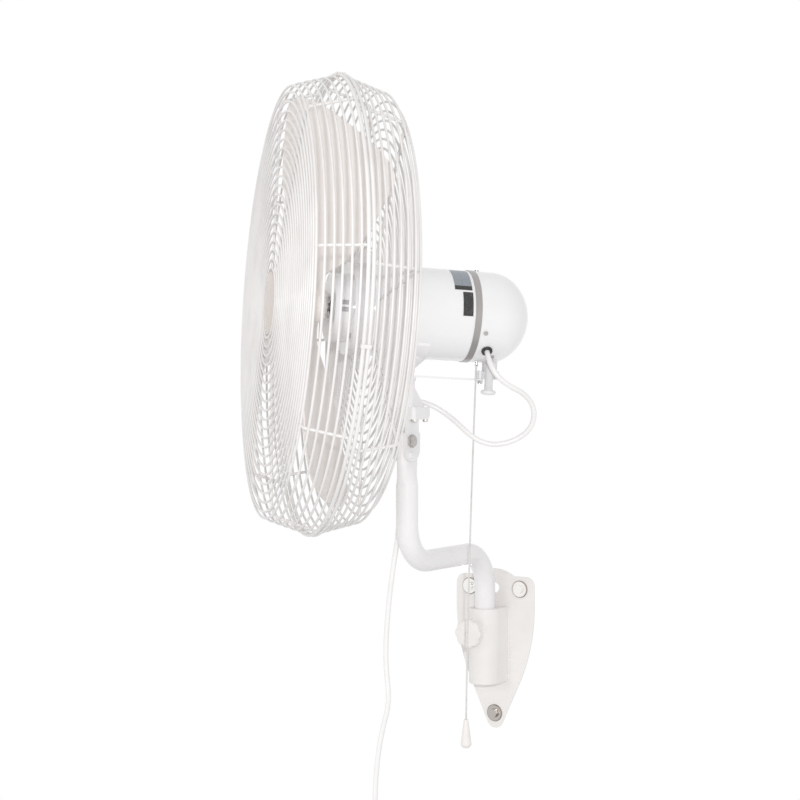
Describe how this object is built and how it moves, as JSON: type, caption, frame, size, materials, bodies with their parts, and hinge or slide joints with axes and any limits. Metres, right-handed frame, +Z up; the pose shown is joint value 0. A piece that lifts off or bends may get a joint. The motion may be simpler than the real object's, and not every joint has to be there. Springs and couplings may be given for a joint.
{
  "type": "wall mounted fan",
  "caption": "Wall mounted oscillating fan: caged fan head on a bent tube arm that swivels in a wall bracket, with tilt neck, oscillating drive, pull cord and mains lead.",
  "frame": {"origin": "midway between the two upper wall screws, on the plate's back face, which lies on the wall", "axes": "+Z up, -Y out of the wall into the room, +X to the right of a viewer who faces the wall"},
  "size_m": [0.559, 0.6952, 1.3249],
  "materials": {
    "bracket_paint": "white powder coat",
    "arm_paint": "white gloss powder coat",
    "neck_paint": "white powder coat on a rough casting",
    "motor_paint": "white powder coat",
    "wire_paint": "white powder coated wire",
    "blade_paint": "off-white paint",
    "badge_plastic": "bare off-white disc",
    "zinc_bolts": "bright plated",
    "zinc_steel": "zinc plated",
    "black_steel": "black oxide",
    "bright_steel": "bright steel",
    "brushed_metal": "brushed grey",
    "lamination_steel": "stacked sheet",
    "die_cast": "as cast",
    "copper": "enamelled wire",
    "cream_plastic": "moulded, soft sheen",
    "dark_plastic": "moulded",
    "black_rubber": "matt",
    "cord_sheath": "smooth sheath",
    "tie_strap": "smooth strap",
    "brass_pins": "plain",
    "pull_cord": "braided"
  },
  "bodies": {
    "wall_bracket": {"wall_plate": "bracket_paint", "arm_socket": "bracket_paint", "wall_screws": "zinc_bolts"},
    "clamp": {"clamp_screw": "zinc_steel", "clamp_knob": "cream_plastic"},
    "arm": {"support_arm": "arm_paint", "power_lead": "cord_sheath", "lead_coil": "cord_sheath", "lead_tail": "cord_sheath", "lead_tie": "tie_strap", "plug_body": "cord_sheath", "plug_blades": "brass_pins"},
    "neck": {"tilt_clevis": "neck_paint", "tilt_pin": "neck_paint", "tilt_lock_bolt": "zinc_steel", "neck_block": "neck_paint", "neck_screws": "zinc_bolts", "pivot_post": "neck_paint", "link_lug": "neck_paint", "lead_bush": "black_rubber"},
    "head": {"saddle": "neck_paint", "motor_shell": "motor_paint", "trim_band": "brushed_metal", "rear_cover": "motor_paint", "cord_bush": "black_rubber", "end_bells": "motor_paint", "motor_screws": "black_steel", "bearings": "bright_steel", "stator_core": "lamination_steel", "stator_windings": "copper", "run_capacitor": "dark_plastic", "gear_case": "die_cast", "speed_switch": "dark_plastic", "rating_plates": "brushed_metal", "cord_loop": "cord_sheath", "front_face_rings": "wire_paint", "front_side_rings": "wire_paint", "front_ribs": "wire_paint", "rear_face_rings": "wire_paint", "rear_side_rings": "wire_paint", "rear_ribs": "wire_paint", "guard_rims": "wire_paint", "guard_mount": "motor_paint", "badge": "badge_plastic", "guard_clips": "wire_paint"},
    "fan": {"motor_shaft": "bright_steel", "rotor": "lamination_steel", "blade_hub": "blade_paint", "hub_nut": "zinc_steel", "blade_1": "blade_paint", "blade_2": "blade_paint", "blade_3": "blade_paint"},
    "crank": {"crank_arm": "die_cast", "crank_pin": "zinc_steel"},
    "link": {"link_rod": "bright_steel"},
    "plunger": {"plunger": "cream_plastic"},
    "pull_stem": {"pull_stem": "bright_steel"},
    "cord_link": {"cord_link": "bright_steel"},
    "pull_cord": {"pull_cord": "pull_cord", "pull_knob": "cream_plastic"}
  },
  "joints": [
    {"name": "arm_swivel", "type": "hinge", "parent": "wall_bracket", "child": "arm", "pos_m": [0, -0.037, -0.09], "axis": [0, 0, 1], "range_deg": [-20, 20]},
    {"name": "clamp_turn", "type": "hinge", "parent": "wall_bracket", "child": "clamp", "pos_m": [0, -0.09, -0.066], "axis": [0, -1, 0], "range_deg": [-180, 180]},
    {"name": "head_tilt", "type": "hinge", "parent": "arm", "child": "neck", "pos_m": [0, -0.293, 0.2305], "axis": [1, 0, 0], "range_deg": [-15, 8], "deforming": ["power_lead"]},
    {"name": "oscillation", "type": "hinge", "parent": "neck", "child": "head", "pos_m": [0, -0.282, 0.36], "axis": [0, 0, 1], "range_deg": [0, 88], "deforming": ["cord_loop"]},
    {"name": "fan_spin", "type": "hinge", "parent": "head", "child": "fan", "pos_m": [-0.09851, -0.38401, 0.45493], "axis": [-0.6937, -0.7184, 0.0523], "continuous": true},
    {"name": "crank_turn", "type": "hinge", "parent": "head", "child": "crank", "pos_m": [0.09066, -0.18812, 0.35054], "axis": [0.0364, 0.0376, 0.9986], "range_deg": [-180, 0]},
    {"name": "link_swing", "type": "hinge", "parent": "crank", "child": "link", "pos_m": [0.08038, -0.19876, 0.3453], "axis": [0.0364, 0.0376, 0.9986], "range_deg": [0, 180]},
    {"name": "clutch_pull", "type": "slide", "parent": "head", "child": "plunger", "axis": [-0.0364, -0.0376, -0.9986], "range_m": [0, 0.008]},
    {"name": "switch_pull", "type": "slide", "parent": "head", "child": "pull_stem", "axis": [-0.0364, -0.0376, -0.9986], "range_m": [0, 0.012], "stiffness_N_per_m": 250},
    {"name": "cord_lean", "type": "hinge", "parent": "pull_stem", "child": "cord_link", "pos_m": [0.0825, -0.2139, 0.3669], "axis": [0.9063, 0.4226, 0], "range_deg": [-18, 0]},
    {"name": "cord_sway", "type": "hinge", "parent": "cord_link", "child": "pull_cord", "pos_m": [0.0825, -0.2139, 0.3669], "axis": [1, 0, 0], "range_deg": [-8, 15]}
  ],
  "couplings": [
    {"joint": "crank_turn", "follows": "oscillation", "ratio": -2.0455},
    {"joint": "link_swing", "follows": "oscillation", "ratio": 2.0455},
    {"joint": "cord_sway", "follows": "head_tilt", "ratio": -1},
    {"joint": "cord_lean", "follows": "oscillation", "ratio": -0.20455}
  ]
}
